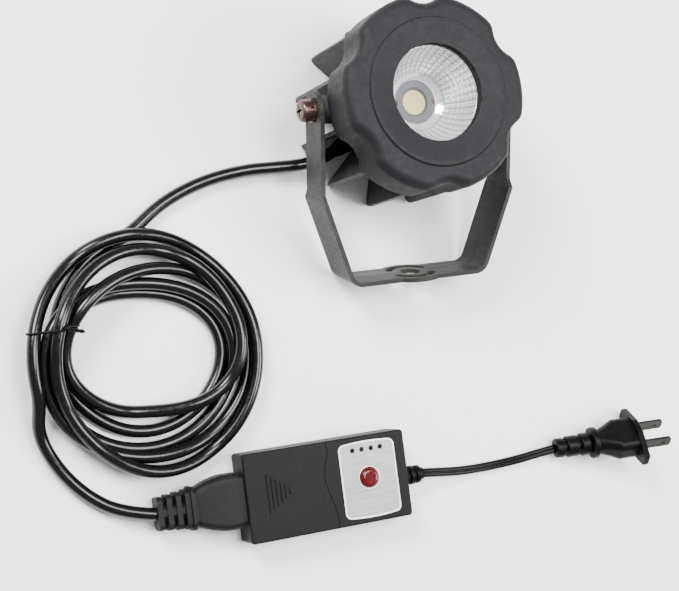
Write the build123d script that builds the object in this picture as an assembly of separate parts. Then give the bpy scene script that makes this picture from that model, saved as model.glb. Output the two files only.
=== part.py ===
from build123d import *
import math
import os

# Compact garden light projector: a finned LED spot lamp in a U bracket, its coiled lead,
# a flash controller with one button, and a flat tail lead with a two-blade plug.
# Millimetres. The lamp lies on its back on the table z = 0, on the rear ends of its fins,
# and shines along +Z. The tilt bolts lie along X. Shapes are drawn about the lamp's axis,
# and everything is shifted along Y at the end, so that the lamp's own box is centred.

# ---- lamp head, heights above the table ----
FIN_RADIUS = 48.0
FIN_THICKNESS = 2.0
FIN_COUNT = 12
FIN_CORNER = 4.0
HUB_RADIUS = 24.0
HUB_REAR = 3.5
CAVITY_RADIUS = 20.0
CAVITY_TOP = 36.0
FLANGE_RADIUS = 42.0
FLANGE_THICKNESS = 4.0
FLANGE_TOP = 48.5
SPIGOT_RADIUS = 32.8
SPIGOT_TOP = 51.0
LED_SEAT = 43.0
LED_WELL_RADIUS = 28.0
WIRE_HOLE_RADIUS = 2.0
GROOVE_OUTER = 37.4
GROOVE_INNER = 35.4
GASKET_THICKNESS = 0.5
FIT_GAP = 0.1
CUT = 1.0

PIVOT_HEIGHT = 41.0
BOSS_RADIUS = 7.0
BOSS_FACE = 50.7

BEZEL_RADIUS = 48.8
BEZEL_VALLEY = 44.4
BEZEL_LOBES = 6
SCALLOP_RADIUS = 14.0
LOBE_BLEND = 8.0
BEZEL_FRONT = 74.0
BEZEL_ROUND = 5.0
BEZEL_BORE = 33.0
FACE_LEVEL = 72.9
FACE_RING_RADIUS = 37.0
FACE_RING_EDGE = 36.1
FACE_DISH_RADIUS = 34.6
LENS_OPENING = 24.0
LENS_LIP_TOP = 72.4
LENS_POCKET_RADIUS = 28.0
LENS_POCKET_TOP = 71.0
LENS_RADIUS = 27.6
LENS_THICKNESS = 3.0
LENS_BEVEL = 0.3
BEZEL_REAR_ROUND = 1.5
BEZEL_BORE_TOP = 65.4
LENS_POCKET_REAR = 64.0

REFLECTOR_BASE_RADIUS = 11.0
REFLECTOR_BASE = 46.6
REFLECTOR_WALL = 1.2
REFLECTOR_RIM = 1.6
REFLECTOR_BULGE = (18.9, 54.0)

LED_BOARD = 18.0
LED_BOARD_THICKNESS = 1.2
PHOSPHOR_RADIUS = 6.3
PHOSPHOR_THICKNESS = 0.5
PHOSPHOR_ROUND = 0.3
HOLDER_RADIUS = 14.5
HOLDER_OPENING = 7.2
HOLDER_TOP = 46.3
HOLDER_BEVEL = 0.5
HOLDER_SEAT = 1.0
DRIVER_RADIUS = 16.5
DRIVER_HEIGHT = 18.0
DRIVER_THICKNESS = 1.6

GLAND_ANGLE = 208.0
GLAND_HEIGHT = 10.5
GLAND_SEAT = 25.6
GLAND_MOUTH = 34.5
GLAND_INNER_END = 16.4
GLAND_BOSS_RADIUS = 5.5
GLAND_HOLE_RADIUS = 4.5
GLAND_THREAD_RADIUS = 4.4
GLAND_COLLAR_RADIUS = 4.8
GLAND_COLLAR = 2.2
GLAND_SLEEVE_RADIUS = 3.9
GLAND_GRIP = 6.0
GLAND_SEAL_RADIUS = 4.9
GLAND_SEAL = 0.6
GLAND_NUT_RADIUS = 5.6
GLAND_NUT = 2.6

# ---- bracket, a bent steel strip ----
STRIP = 2.2
ARM_OUTER = 53.5
ARM_WIDTH = 19.0
ARM_STRAIGHT = 45.0
LOWER_WIDTH = 25.0
BASE_HALF = 38.0
BASE_REACH = 89.0
BASE_DISC = 16.0
BASE_HOLE = 5.3
SLOT_RADIUS = 11.3
SLOT_WIDTH = 4.0
SLOT_SPREAD = 116.0
BEND_OUTER = 8.0
ARM_TOP = 30.0
ARM_STEP = 4.0
ARM_STEP_ROUND = 3.0
BRACKET_HOLE_GAP = 0.08

# ---- pivot hardware, M6 ----
BOLT_RADIUS = 3.0
RUNNING_GAP = 0.05
SIDE_PLAY = 0.05
WASHER_RADIUS = 6.0
WASHER_THICKNESS = 1.4
SPRING_WASHER_THICKNESS = 1.6
BOLT_HEAD_RADIUS = 5.6
BOLT_HEAD = 4.2
BOLT_HEAD_ROUND = 2.0
BOLT_INNER_END = 35.0
BOLT_SLOT_DEPTH = 1.6
BOLT_SLOT_WIDTH = 1.2
BOLT_SLOT_LENGTH = 6.4
WASHER_HOLE = 3.15
SPRING_WASHER_RADIUS = 5.4
SPRING_WASHER_SPLIT = 0.7
SPRING_WASHER_ANGLE = 25.0
FRICTION_WASHER_RADIUS = 6.6

# ---- lamp lead and coil ----
CORD = 6.4
GLAND_TURNS = [(GLAND_MOUTH - GLAND_GRIP, GLAND_HEIGHT), (GLAND_MOUTH + 5.0, GLAND_HEIGHT - 0.6)]
LEAD_ROUTE = [
    (-46.9, -22.2, 8.3),
    (-62.5, -22.2, 5.8),
    (-80.0, -22.0, 3.9),
    (-103.0, -25.9, 3.3),
    (-125.5, -35.2, 3.3),
    (-143.5, -48.0, 3.3),
]
COIL_CENTRE = (-143.3, -109.6)
COIL_OUTER = (62.7, 64.8)
COIL_INNER = (35.0, 23.5)
COIL_HEIGHT = 20.0
COIL_ROUND = 4.0
TIE_THICKNESS = 0.6
TIE_WIDTH = 1.2
TIE_OFFSET = 17.6
RETURN_ROUTE = [
    (-200.5, -121.0, 8.0),
    (-199.5, -139.0, 5.6),
    (-192.0, -156.5, 3.8),
    (-179.5, -172.0, 4.0),
    (-164.5, -182.2, 6.6),
    (-148.5, -185.5, 8.5),
]

# ---- controller and connector ----
BOX_WEST = -104.6
BOX_LENGTH = 88.0
BOX_WIDTH = 44.5
BOX_HEIGHT = 17.0
BOX_SPLIT = 9.0
BOX_WALL = 1.8
BOX_CENTRE_Y = -185.5
BOX_CORNER = 1.8
BOX_TOP_ROUND = 0.9
BOX_BOTTOM_BEVEL = 0.8
SEAM = [(44.0, 22.3), (44.3, 14.0), (42.3, 8.0), (43.0, -2.0), (46.0, -12.5), (46.6, -22.3)]
SEAM_GAP = 0.25
LABEL_LENGTH = 31.0
LABEL_WIDTH = 37.0
LABEL_CENTRE = (66.4, 0.0)
LABEL_THICKNESS = 0.5
LABEL_RECESS = 0.3
LABEL_BOW = 1.0
LABEL_CORNER = 3.0
BUTTON_RADIUS = 4.9
BUTTON_HOLE = 5.3
BUTTON_FLANGE_TOP = 15.1
BUTTON_FLANGE_REAR = 13.8
BUTTON_ROUND = 1.8
RING_WIDTH = 0.9
RING_HEIGHT = 0.5
STEM_RADIUS = 2.0
PLUNGER_RADIUS = 1.4
PLUNGER_TOP = 11.2
PLUNGER_REAR = 8.6
BUTTON_TOP = 19.4
BUTTON_CENTRE = (66.0, 0.7)
LIGHT_RADIUS = 1.25
LIGHT_PITCH = 5.15
LIGHT_ROW_Y = 15.3
ARROW_RIBS = 6
ARROW_WEST = 10.6
ARROW_PITCH = 2.3
ARROW_HALF = 10.0
ARROW_GROOVE = 0.8
ARROW_DEPTH = 0.5
BOARD_TOP = 6.6
AXIS_HEIGHT = 8.5
PIN_SPACING = 8.0
PIN_RADIUS = 1.2
PIN_REACH = 11.0
BOOT_WEST = -148.5
BOOT_EAST = -132.0
BOOT_RIBS = 4
BOOT_RIB = 2.6
BOOT_RIB_WIDTH = 16.2
BOOT_RIB_HEIGHT = 10.4
SOCKET_RADIUS = 2.0
SOCKET_WEST = BOX_WEST - 12.8
# Sections across the connector: place along X, width, height and corner radius.
SHOULDER = [(-128.5, 19.5, 12.0, 3.5), (-122.5, 24.0, 13.4, 3.5), (-114.0, 27.6, 14.6, 3.5)]
# Plates across the connector: west and east ends, width, height and corner radius.
CONNECTOR_PLATES = [
    (-114.0, -107.2, 27.6, 14.6, 3.5),
    (-107.2, BOX_WEST - SIDE_PLAY, 25.4, 13.6, 3.0),
    (-131.9, -130.2, 21.5, 13.4, 4.0),
    (-130.2, -128.5, 18.8, 11.6, 3.5),
]

# ---- tail lead and plug ----
TAIL_WIDTH = 4.8
TAIL_THICKNESS = 2.8
TAIL_Y = -188.5
RELIEF_EAST = -4.5
RELIEF_HOLE = 3.3
RELIEF_NECK = 3.2
RELIEF_FLANGE = 4.4
RELIEF_RIBS = [(0.4, 2.4, 5.0), (3.9, 2.4, 4.9), (7.4, 2.3, 4.7)]
TAIL_ROUTE = [
    (-4.5, -188.5, 8.5),
    (6.0, -189.8, 7.2),
    (20.0, -191.6, 4.0),
    (37.5, -192.2, 1.9),
    (55.0, -191.4, 2.1),
    (68.0, -189.8, 3.8),
    (78.5, -188.5, 5.8),
]
PLUG_PITCH = 11.5
PLUG_ROLL = -44.0
PLUG_BOOT_LENGTH = 24.0
PLUG_COLLAR = 3.4
PLUG_COLLAR_RADIUS = 8.6
PLUG_BOOT_CORE = 3.7
PLUG_BOOT_RIBS = [(0.0, 4.6, 5.3), (6.2, 6.6, 5.8), (14.4, 5.0, 6.2)]
PLUG_NECK = [(3.4, 12.5, 12.0, 5.5), (8.0, 15.5, 12.6, 5.0)]
PLUG_SHOULDER = 14.5
PLUG_GRIP = (22.0, 13.6, 4.5)
PLUG_BODY_LENGTH = 21.5
FLANGE_LONG = 36.0
FLANGE_SHORT = 18.0
FLANGE_END = 7.0
PLUG_FLANGE = 3.2
BLADE_PITCH = 12.7
BLADE_WIDTH = 6.3
BLADE_THICKNESS = 1.5
BLADE_LENGTH = 17.0
BLADE_CORNER = 1.6
BLADE_HOLE = 1.0
BLADE_HOLE_INSET = 4.5

BASE = (Align.CENTER, Align.CENTER, Align.MIN)
WEST = (Align.MIN, Align.CENTER, Align.CENTER)
CORNER = (Align.MIN, Align.CENTER, Align.MIN)
NODES = {}


def rod(radius, start, end):
    """A cylinder about the vertical axis between two heights."""
    return Pos(0, 0, start) * Cylinder(radius, end - start, align=BASE)


def ring(outer, inner, start, end):
    """A plain ring about the vertical axis between two heights."""
    return rod(outer, start, end) - rod(inner, start - 1, end + 1)


def cross_rod(radius, start, end):
    """A cylinder about the X axis between two places along it."""
    return Pos(start, 0, 0) * Rot(0, 90, 0) * Cylinder(radius, end - start, align=BASE)


def cross_ring(outer, inner, start, end):
    """A ring about the X axis between two places along it."""
    return cross_rod(outer, start, end) - cross_rod(inner, start - 1, end + 1)


def around(angles, radius, shape):
    """Copies of a shape set at a radius, one at each angle."""
    return [Rot(0, 0, angle) * Pos(radius, 0, 0) * shape for angle in angles]


def group(shapes):
    """Separate solids held together as one node."""
    return Part() + shapes


def both_sides(shape):
    """A shape on the +X side and its half-turned twin on the -X side."""
    return group([shape, Rot(0, 0, 180) * shape])


# ------------------------------------------------------------------ lamp head
PIVOT = Pos(0, 0, PIVOT_HEIGHT)
BEZEL_SCREW_ANGLES = [60, 120, 240, 300]
BEZEL_SCREW_CIRCLE = 39.6
COVER_SCREW_ANGLES = [30, 150, 270]
COVER_SCREW_CIRCLE = 22.0
HOLDER_SCREW_ANGLES = [0, 180]
HOLDER_SCREW_CIRCLE = 11.5
SCREW_M3 = 1.5
SCREW_M25 = 1.2
M25_HOLE = 1.3
M25_HEAD_RADIUS = 2.2
M25_HEAD = 0.9
M3_HEAD_RADIUS = 2.75
M3_HEAD = 2.2
BEZEL_SCREW_TIP = 57.0
COVER_SCREW_TIP = 10.5
HOLDER_SCREW_TIP = 38.0
COVER_REAR = 1.0
COVER_RADIUS = 23.8
COVER_GASKET_RADIUS = 23.6
COVER_BEVEL = 0.6
RECESS_WIDTH = 0.7
M25_RECESS = 2.4
M3_RECESS = 2.9
RECESS_DEPTH = 0.5


def gland_place():
    """Frame at the lamp's axis whose X axis points out through the gland."""
    return Pos(0, 0, GLAND_HEIGHT) * Rot(0, 0, GLAND_ANGLE)


def fin():
    inner = CAVITY_RADIUS + 2
    plate = Pos(inner, 0, 0) * Box(
        FIN_RADIUS - inner, FIN_THICKNESS, FLANGE_TOP, align=(Align.MIN, Align.CENTER, Align.MIN)
    )
    rear_corner = plate.edges().filter_by(Axis.Y).group_by(Axis.Z)[0].sort_by(Axis.X)[-1]
    return fillet(rear_corner, FIN_CORNER)


def make_heat_sink():
    body = rod(HUB_RADIUS, HUB_REAR, FLANGE_TOP)
    body += rod(FLANGE_RADIUS, FLANGE_TOP - FLANGE_THICKNESS, FLANGE_TOP)
    body += rod(SPIGOT_RADIUS, FLANGE_TOP, SPIGOT_TOP)
    one_fin = fin()
    for index in range(FIN_COUNT):
        body += Rot(0, 0, (index + 0.5) * 360 / FIN_COUNT) * one_fin
    for side in (0, 180):
        body += Rot(0, 0, side) * PIVOT * cross_rod(BOSS_RADIUS, HUB_RADIUS - 2, BOSS_FACE)
    body += gland_place() * cross_rod(GLAND_BOSS_RADIUS, CAVITY_RADIUS + CUT, GLAND_SEAT)
    body -= rod(HUB_RADIUS + FIT_GAP, -CUT, HUB_REAR)
    body -= rod(CAVITY_RADIUS, HUB_REAR - CUT, CAVITY_TOP)
    body -= rod(LED_WELL_RADIUS, LED_SEAT, SPIGOT_TOP + CUT)
    body -= gland_place() * cross_rod(GLAND_HOLE_RADIUS, GLAND_INNER_END, GLAND_SEAT + CUT)
    body -= ring(GROOVE_OUTER, GROOVE_INNER, FLANGE_TOP - GASKET_THICKNESS, FLANGE_TOP + CUT)
    bolt_hole = cross_rod(BOLT_RADIUS + RUNNING_GAP, BOLT_INNER_END - CUT, BOSS_FACE + CUT)
    for side in (0, 180):
        body -= Rot(0, 0, side) * PIVOT * bolt_hole
    for hole in heat_sink_screw_holes():
        body -= hole
    body -= rod(WIRE_HOLE_RADIUS, CAVITY_TOP - CUT, LED_SEAT + CUT)
    return body


def heat_sink_screw_holes():
    """Clear holes for the bezel screws and tapped ones for the cover and holder screws."""
    tapped = SCREW_M25 + RUNNING_GAP
    flange_rear = FLANGE_TOP - FLANGE_THICKNESS
    through = rod(SCREW_M3 + FIT_GAP, flange_rear - CUT, FLANGE_TOP + CUT)
    cover_hole = rod(tapped, HUB_REAR - CUT, COVER_SCREW_TIP + 0.5)
    holder_hole = rod(tapped, HOLDER_SCREW_TIP - 0.5, LED_SEAT + CUT)
    holes = around(BEZEL_SCREW_ANGLES, BEZEL_SCREW_CIRCLE, through)
    holes += around(COVER_SCREW_ANGLES, COVER_SCREW_CIRCLE, cover_hole)
    holes += around(HOLDER_SCREW_ANGLES, HOLDER_SCREW_CIRCLE, holder_hole)
    return holes


def make_rear_cover():
    cover = rod(COVER_RADIUS, COVER_REAR, HUB_REAR - GASKET_THICKNESS)
    cover = chamfer(cover.edges().group_by(Axis.Z)[0], COVER_BEVEL)
    hole = rod(M25_HOLE, 0, HUB_REAR + CUT) + rod(M25_HEAD_RADIUS + FIT_GAP, 0, COVER_REAR + 1.0)
    for place in around(COVER_SCREW_ANGLES, COVER_SCREW_CIRCLE, hole):
        cover -= place
    return cover


def make_rear_gasket():
    gasket = ring(COVER_GASKET_RADIUS, CAVITY_RADIUS + 2 * FIT_GAP, HUB_REAR - GASKET_THICKNESS, HUB_REAR)
    for hole in around(COVER_SCREW_ANGLES, COVER_SCREW_CIRCLE, rod(M25_HOLE, 0, HUB_REAR + CUT)):
        gasket -= hole
    return gasket


def cross_recess(length, depth, base):
    """The cross-shaped driver recess of a screw head, from a height upwards."""
    arm = Pos(0, 0, base) * Box(length, RECESS_WIDTH, depth, align=BASE)
    return arm + Rot(0, 0, 90) * arm


def make_rear_cover_screws():
    seat = COVER_REAR + 1.0
    screw = rod(SCREW_M25, seat, COVER_SCREW_TIP) + rod(M25_HEAD_RADIUS, seat - M25_HEAD, seat)
    screw -= cross_recess(M25_RECESS, RECESS_DEPTH, COVER_REAR)
    return group(around(COVER_SCREW_ANGLES, COVER_SCREW_CIRCLE, screw))


def bezel_outline(rear, front):
    """The rim's six soft lobes, as a prism between two heights."""
    prism = rod(BEZEL_RADIUS, rear, front)
    first = 180 / BEZEL_LOBES
    angles = [first + index * 360 / BEZEL_LOBES for index in range(BEZEL_LOBES)]
    flute = rod(SCALLOP_RADIUS, rear - CUT, front + CUT)
    for scallop in around(angles, BEZEL_VALLEY + SCALLOP_RADIUS, flute):
        prism -= scallop
    return fillet(prism.edges().filter_by(Axis.Z), LOBE_BLEND)


def make_bezel():
    body = bezel_outline(FLANGE_TOP, FACE_LEVEL)
    body = fillet(body.edges().group_by(Axis.Z)[-1], BEZEL_ROUND)
    body = fillet(body.edges().group_by(Axis.Z)[0], BEZEL_REAR_ROUND)
    raised = Plane.XZ * Polygon(
        (0, FACE_LEVEL - CUT),
        (FACE_RING_RADIUS, FACE_LEVEL - CUT),
        (FACE_RING_RADIUS, FACE_LEVEL),
        (FACE_RING_EDGE, BEZEL_FRONT),
        (0, BEZEL_FRONT),
        align=None,
    )
    body += revolve(raised, Axis.Z)
    dish = Plane.XZ * Polygon(
        (0, BEZEL_FRONT + CUT),
        (FACE_DISH_RADIUS, BEZEL_FRONT + CUT),
        (FACE_DISH_RADIUS, BEZEL_FRONT),
        (LENS_OPENING, LENS_LIP_TOP),
        (0, LENS_LIP_TOP),
        align=None,
    )
    body -= revolve(dish, Axis.Z)
    body -= rod(LENS_OPENING, LENS_POCKET_TOP - CUT, BEZEL_FRONT)
    body -= rod(LENS_POCKET_RADIUS, LENS_POCKET_REAR, LENS_POCKET_TOP)
    body -= rod(BEZEL_BORE, FLANGE_TOP - CUT, BEZEL_BORE_TOP)
    screw_hole = rod(SCREW_M3 + RUNNING_GAP, FLANGE_TOP - CUT, BEZEL_SCREW_TIP + 1.0)
    for hole in around(BEZEL_SCREW_ANGLES, BEZEL_SCREW_CIRCLE, screw_hole):
        body -= hole
    return body


def make_bezel_gasket():
    return ring(GROOVE_OUTER - FIT_GAP, GROOVE_INNER + FIT_GAP, FLANGE_TOP - GASKET_THICKNESS, FLANGE_TOP)


def make_bezel_screws():
    seat = FLANGE_TOP - FLANGE_THICKNESS
    screw = rod(SCREW_M3, seat, BEZEL_SCREW_TIP) + rod(M3_HEAD_RADIUS, seat - M3_HEAD, seat)
    screw -= cross_recess(M3_RECESS, 2 * RECESS_DEPTH, seat - M3_HEAD)
    return group(around(BEZEL_SCREW_ANGLES, BEZEL_SCREW_CIRCLE, screw))


def make_lens_glass():
    top = LENS_POCKET_TOP - GASKET_THICKNESS
    glass = rod(LENS_RADIUS, top - LENS_THICKNESS, top)
    return chamfer(glass.edges(), LENS_BEVEL)


def make_lens_gasket():
    return ring(LENS_RADIUS, LENS_OPENING + 0.8, LENS_POCKET_TOP - GASKET_THICKNESS, LENS_POCKET_TOP)


def make_reflector():
    rim_top = LENS_POCKET_TOP - GASKET_THICKNESS - LENS_THICKNESS
    cup_bottom = (REFLECTOR_BASE_RADIUS, REFLECTOR_BASE)
    cup_top = (LENS_OPENING - 4 * FIT_GAP, rim_top)
    rim_bottom = rim_top - REFLECTOR_RIM
    inner = ThreePointArc(cup_bottom, REFLECTOR_BULGE, cup_top)
    outer = ThreePointArc(
        (cup_bottom[0] + REFLECTOR_WALL, REFLECTOR_BASE),
        (REFLECTOR_BULGE[0] + REFLECTOR_WALL, REFLECTOR_BULGE[1] - 0.5),
        (cup_top[0] + REFLECTOR_WALL, rim_bottom),
    )
    shell = make_face(
        [
            inner,
            Line(cup_top, (LENS_RADIUS, rim_top)),
            Line((LENS_RADIUS, rim_top), (LENS_RADIUS, rim_bottom)),
            Line((LENS_RADIUS, rim_bottom), outer @ 1),
            outer,
            Line(outer @ 0, cup_bottom),
        ]
    )
    return revolve(Plane.XZ * shell, Axis.Z)


def make_cob_board():
    start = LED_SEAT + GASKET_THICKNESS
    return Pos(0, 0, start) * Box(LED_BOARD, LED_BOARD, LED_BOARD_THICKNESS, align=BASE)


def make_cob_phosphor():
    start = LED_SEAT + GASKET_THICKNESS + LED_BOARD_THICKNESS
    disc = rod(PHOSPHOR_RADIUS, start, start + PHOSPHOR_THICKNESS)
    return fillet(disc.edges().group_by(Axis.Z)[-1], PHOSPHOR_ROUND)


def make_thermal_pad():
    return Pos(0, 0, LED_SEAT) * Box(LED_BOARD, LED_BOARD, GASKET_THICKNESS, align=BASE)


def make_cob_holder():
    holder = rod(HOLDER_RADIUS, LED_SEAT, HOLDER_TOP)
    pocket = GASKET_THICKNESS + LED_BOARD_THICKNESS
    side = LED_BOARD + 4 * FIT_GAP
    holder -= Pos(0, 0, LED_SEAT - CUT) * Box(side, side, pocket + CUT, align=BASE)
    holder -= rod(HOLDER_OPENING, LED_SEAT, HOLDER_TOP + CUT)
    holder = chamfer(holder.edges().filter_by(GeomType.CIRCLE).group_by(Axis.Z)[-1], HOLDER_BEVEL)
    hole = rod(M25_HOLE, LED_SEAT - CUT, HOLDER_TOP + CUT)
    hole += rod(M25_HEAD_RADIUS, HOLDER_TOP - HOLDER_SEAT, HOLDER_TOP + CUT)
    for place in around(HOLDER_SCREW_ANGLES, HOLDER_SCREW_CIRCLE, hole):
        holder -= place
    return holder


def make_holder_screws():
    seat = HOLDER_TOP - HOLDER_SEAT
    screw = rod(SCREW_M25, HOLDER_SCREW_TIP, seat) + rod(M25_HEAD_RADIUS - FIT_GAP, seat, HOLDER_TOP)
    screw -= cross_recess(M25_RECESS, CUT, HOLDER_TOP - RECESS_DEPTH)
    return group(around(HOLDER_SCREW_ANGLES, HOLDER_SCREW_CIRCLE, screw))


def make_driver_board():
    board = rod(DRIVER_RADIUS, DRIVER_HEIGHT, DRIVER_HEIGHT + DRIVER_THICKNESS)
    return board - Pos(0, 14.5, DRIVER_HEIGHT) * Box(8, 5, 4)


def make_driver_parts():
    transformer = Pos(-2, -3, 0) * Box(14, 12, 11, align=BASE)
    capacitor = Pos(9.5, 2, 0) * Cylinder(4.0, 13, align=BASE)
    rectifier = Pos(-6, 8.5, 0) * Box(6, 4, 5, align=BASE)
    on_board = Pos(0, 0, DRIVER_HEIGHT + DRIVER_THICKNESS)
    return on_board * group([transformer, capacitor, rectifier])


def make_cable_gland():
    collar_start = GLAND_SEAT + GLAND_SEAL
    collar_end = collar_start + GLAND_COLLAR
    body = cross_rod(GLAND_THREAD_RADIUS, GLAND_INNER_END, collar_start)
    body += cross_rod(GLAND_COLLAR_RADIUS, collar_start, collar_end)
    cone = Cone(GLAND_HOLE_RADIUS, GLAND_SLEEVE_RADIUS, GLAND_MOUTH - collar_end, align=BASE)
    body += Pos(collar_end, 0, 0) * Rot(0, 90, 0) * cone
    grip_start = GLAND_MOUTH - GLAND_GRIP
    body -= cross_rod(CORD / 2, GLAND_INNER_END - CUT, grip_start)
    body -= cross_rod(CORD / 2 + RUNNING_GAP, grip_start, GLAND_MOUTH + CUT)
    return gland_place() * body


def make_gland_seal():
    seal = cross_ring(GLAND_SEAL_RADIUS, GLAND_THREAD_RADIUS, GLAND_SEAT, GLAND_SEAT + GLAND_SEAL)
    return gland_place() * seal


def make_gland_nut():
    prism = extrude(RegularPolygon(GLAND_NUT_RADIUS, 6), GLAND_NUT)
    nut = Pos(GLAND_INNER_END, 0, 0) * Rot(0, 90, 0) * prism
    nut -= cross_rod(GLAND_THREAD_RADIUS, GLAND_INNER_END - CUT, GLAND_SEAT)
    return gland_place() * nut


def make_pivot_bolts():
    seat = ARM_OUTER + SIDE_PLAY + WASHER_THICKNESS + SPRING_WASHER_THICKNESS
    head = cross_rod(BOLT_HEAD_RADIUS, seat, seat + BOLT_HEAD)
    head = fillet(head.edges().group_by(Axis.X)[-1], BOLT_HEAD_ROUND)
    slot = Box(BOLT_SLOT_DEPTH + CUT, BOLT_SLOT_WIDTH, BOLT_SLOT_LENGTH, align=WEST)
    slot = Pos(seat + BOLT_HEAD - BOLT_SLOT_DEPTH, 0, 0) * slot
    bolt = cross_rod(BOLT_RADIUS, BOLT_INNER_END, seat) + head - slot - Rot(90, 0, 0) * slot
    return PIVOT * both_sides(bolt)


def make_flat_washers():
    start = ARM_OUTER + SIDE_PLAY
    return PIVOT * both_sides(cross_ring(WASHER_RADIUS, WASHER_HOLE, start, start + WASHER_THICKNESS))


def make_spring_washers():
    start = ARM_OUTER + SIDE_PLAY + WASHER_THICKNESS
    washer = cross_ring(SPRING_WASHER_RADIUS, WASHER_HOLE, start, start + SPRING_WASHER_THICKNESS)
    middle = Pos(start + SPRING_WASHER_THICKNESS / 2, 0, (SPRING_WASHER_RADIUS + WASHER_HOLE) / 2)
    washer -= middle * Rot(SPRING_WASHER_ANGLE, 0, 0) * Box(4, SPRING_WASHER_SPLIT, 3.4)
    return PIVOT * both_sides(washer)


def make_friction_washers():
    inner_face = ARM_OUTER - STRIP - SIDE_PLAY
    return PIVOT * both_sides(cross_ring(FRICTION_WASHER_RADIUS, WASHER_HOLE, BOSS_FACE, inner_face))


# ------------------------------------------------------------------ bracket
def bracket_tilt():
    """How far the bracket has swung down when the edge of its base meets the table."""
    reach = math.hypot(BASE_REACH, BASE_DISC)
    return math.degrees(math.asin(PIVOT_HEIGHT / reach) - math.atan2(BASE_DISC, BASE_REACH))


def cup_profile(inset, bend):
    """The side view of the bracket: straight arms, sloping shoulders and a flat base."""
    slope = math.hypot(ARM_OUTER - BASE_HALF, BASE_REACH - ARM_STRAIGHT)
    shoulder = (ARM_OUTER - BASE_HALF) / slope
    run = (BASE_REACH - ARM_STRAIGHT) / slope
    arm = ARM_OUTER - inset
    depth = BASE_REACH - inset
    bend_y = ARM_STRAIGHT - inset * (1 - run) / shoulder
    base = BASE_HALF - inset * (1 - shoulder) / run
    profile = Polygon(
        (-arm, ARM_TOP),
        (-arm, -bend_y),
        (-base, -depth),
        (base, -depth),
        (arm, -bend_y),
        (arm, ARM_TOP),
        align=None,
    )
    lower_corners = profile.vertices().sort_by(Axis.Y)[0:4]
    return fillet(lower_corners, bend)


def strip_outline():
    """The flat strip seen from the side: narrow arms that step out to the wider lower part."""
    half_arm = ARM_WIDTH / 2
    half_low = LOWER_WIDTH / 2
    step = ARM_STRAIGHT - ARM_STEP
    end = -BASE_REACH - CUT
    outline = Plane.YZ * Polygon(
        (0, -half_arm),
        (-step, -half_arm),
        (-step - ARM_STEP, -half_low),
        (end, -half_low),
        (end, half_low),
        (-step - ARM_STEP, half_low),
        (-step, half_arm),
        (0, half_arm),
        align=None,
    )
    return fillet(outline.vertices().sort_by(Axis.Y)[4:8], ARM_STEP_ROUND)


def base_cuts():
    """The centre hole and the two arc slots of the base, cut through it."""
    plane = Plane((0, -BASE_REACH + STRIP + CUT, 0), x_dir=(1, 0, 0), z_dir=(0, -1, 0))
    cuts = Circle(BASE_HOLE)
    for middle in (90, 270):
        arc = CenterArc((0, 0), SLOT_RADIUS, middle - SLOT_SPREAD / 2, SLOT_SPREAD)
        cuts += SlotArc(arc, SLOT_WIDTH)
    return extrude(plane * cuts, STRIP + 2 * CUT)


def make_bracket():
    outside = cup_profile(0, BEND_OUTER)
    inside = cup_profile(STRIP, BEND_OUTER - STRIP)
    strip = extrude(outside - inside, BASE_DISC, both=True)
    beyond = ARM_OUTER + CUT
    allowed = extrude(strip_outline(), beyond, both=True)
    allowed += cross_rod(ARM_WIDTH / 2, -beyond, beyond)
    allowed += Pos(0, -BASE_REACH, 0) * Rot(-90, 0, 0) * Cylinder(BASE_DISC, 3 * STRIP)
    strip &= allowed
    strip -= cross_rod(BOLT_RADIUS + BRACKET_HOLE_GAP, -beyond, beyond)
    strip -= base_cuts()
    return PIVOT * Rot(bracket_tilt(), 0, 0) * strip


# ------------------------------------------------------------------ cords
def corner_radii(points):
    """One radius for each corner: as large as its two runs allow."""
    radii = []
    for before, here, after in zip(points, points[1:], points[2:]):
        arriving = Vector(*here) - Vector(*before)
        leaving = Vector(*after) - Vector(*here)
        half_turn = math.radians(arriving.get_angle(leaving)) / 2
        shorter = min(arriving.length, leaving.length)
        radii.append(0.45 * shorter / math.tan(half_turn))
    return radii


def cord_tube(name, points, section, area):
    """A tube along straight runs joined by tangent arcs, with its radii and volume reported."""
    radii = corner_radii(points)
    path = FilletPolyline(*points, radius=radii)
    start = Plane(origin=path @ 0, x_dir=(0, 1, 0), z_dir=path % 0)
    tube = sweep(start * section, path=path)
    print(name, "radii", [round(radius, 1) for radius in radii], "length", round(path.length, 1))
    print(name, "volume", round(tube.volume, 1), "section x length", round(area * path.length, 1))
    return tube


def gland_route():
    """Where the lead starts in the gland's mouth, and the point it turns at first."""
    angle = math.radians(GLAND_ANGLE)
    points = []
    for radius, height in GLAND_TURNS:
        points.append((radius * math.cos(angle), radius * math.sin(angle), height))
    return points


def round_tube(name, points):
    return cord_tube(name, points, Circle(CORD / 2), math.pi * CORD**2 / 4)


def make_lamp_lead():
    return round_tube("lamp_lead", gland_route() + LEAD_ROUTE)


def make_return_lead():
    return round_tube("return_lead", RETURN_ROUTE)


def make_cord_coil():
    outline = Ellipse(*COIL_OUTER) - Ellipse(*COIL_INNER)
    coil = extrude(Pos(*COIL_CENTRE) * outline, COIL_HEIGHT)
    return fillet(coil.edges().group_by(Axis.Z)[-1], COIL_ROUND)


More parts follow.
